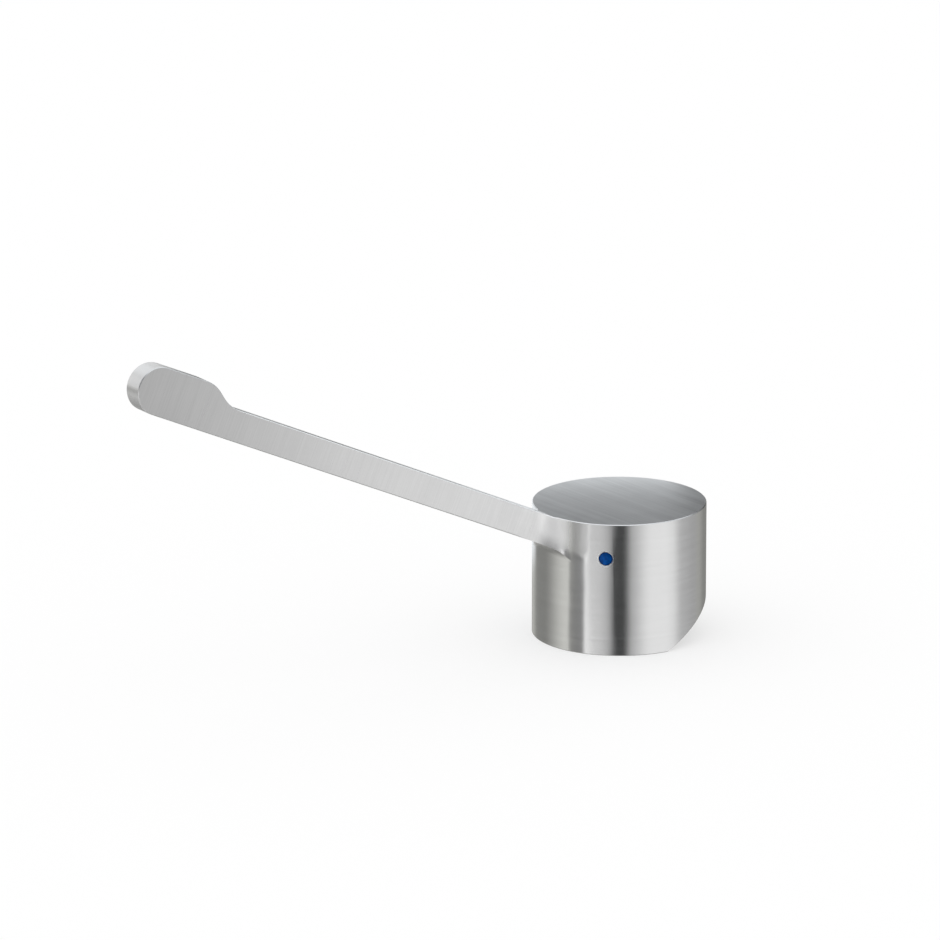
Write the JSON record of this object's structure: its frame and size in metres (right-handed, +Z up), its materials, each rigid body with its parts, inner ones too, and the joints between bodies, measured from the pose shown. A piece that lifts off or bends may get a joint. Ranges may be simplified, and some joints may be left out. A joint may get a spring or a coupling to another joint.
{
  "type": "tap handle",
  "caption": "Mixer tap handle: a hollow round hub with a square spindle socket, and a long flat lever that rises to a round-ended paddle.",
  "frame": {"origin": "on the hub's axis, in the plane of the spindle socket's mouth", "axes": "+Z up along the hub's axis, away from the tap; -Y along the lever, towards the user; +X to the user's right, the cold side"},
  "size_m": [0.046, 0.1711, 0.0938],
  "materials": {
    "handle_steel": "brushed",
    "cold_blue": "gloss",
    "hot_red": "gloss",
    "screw_steel": "machined"
  },
  "bodies": {
    "root": {"handle_body": "handle_steel", "cold_index": "cold_blue", "hot_index": "hot_red", "set_screw": "screw_steel"}
  },
  "joints": []
}
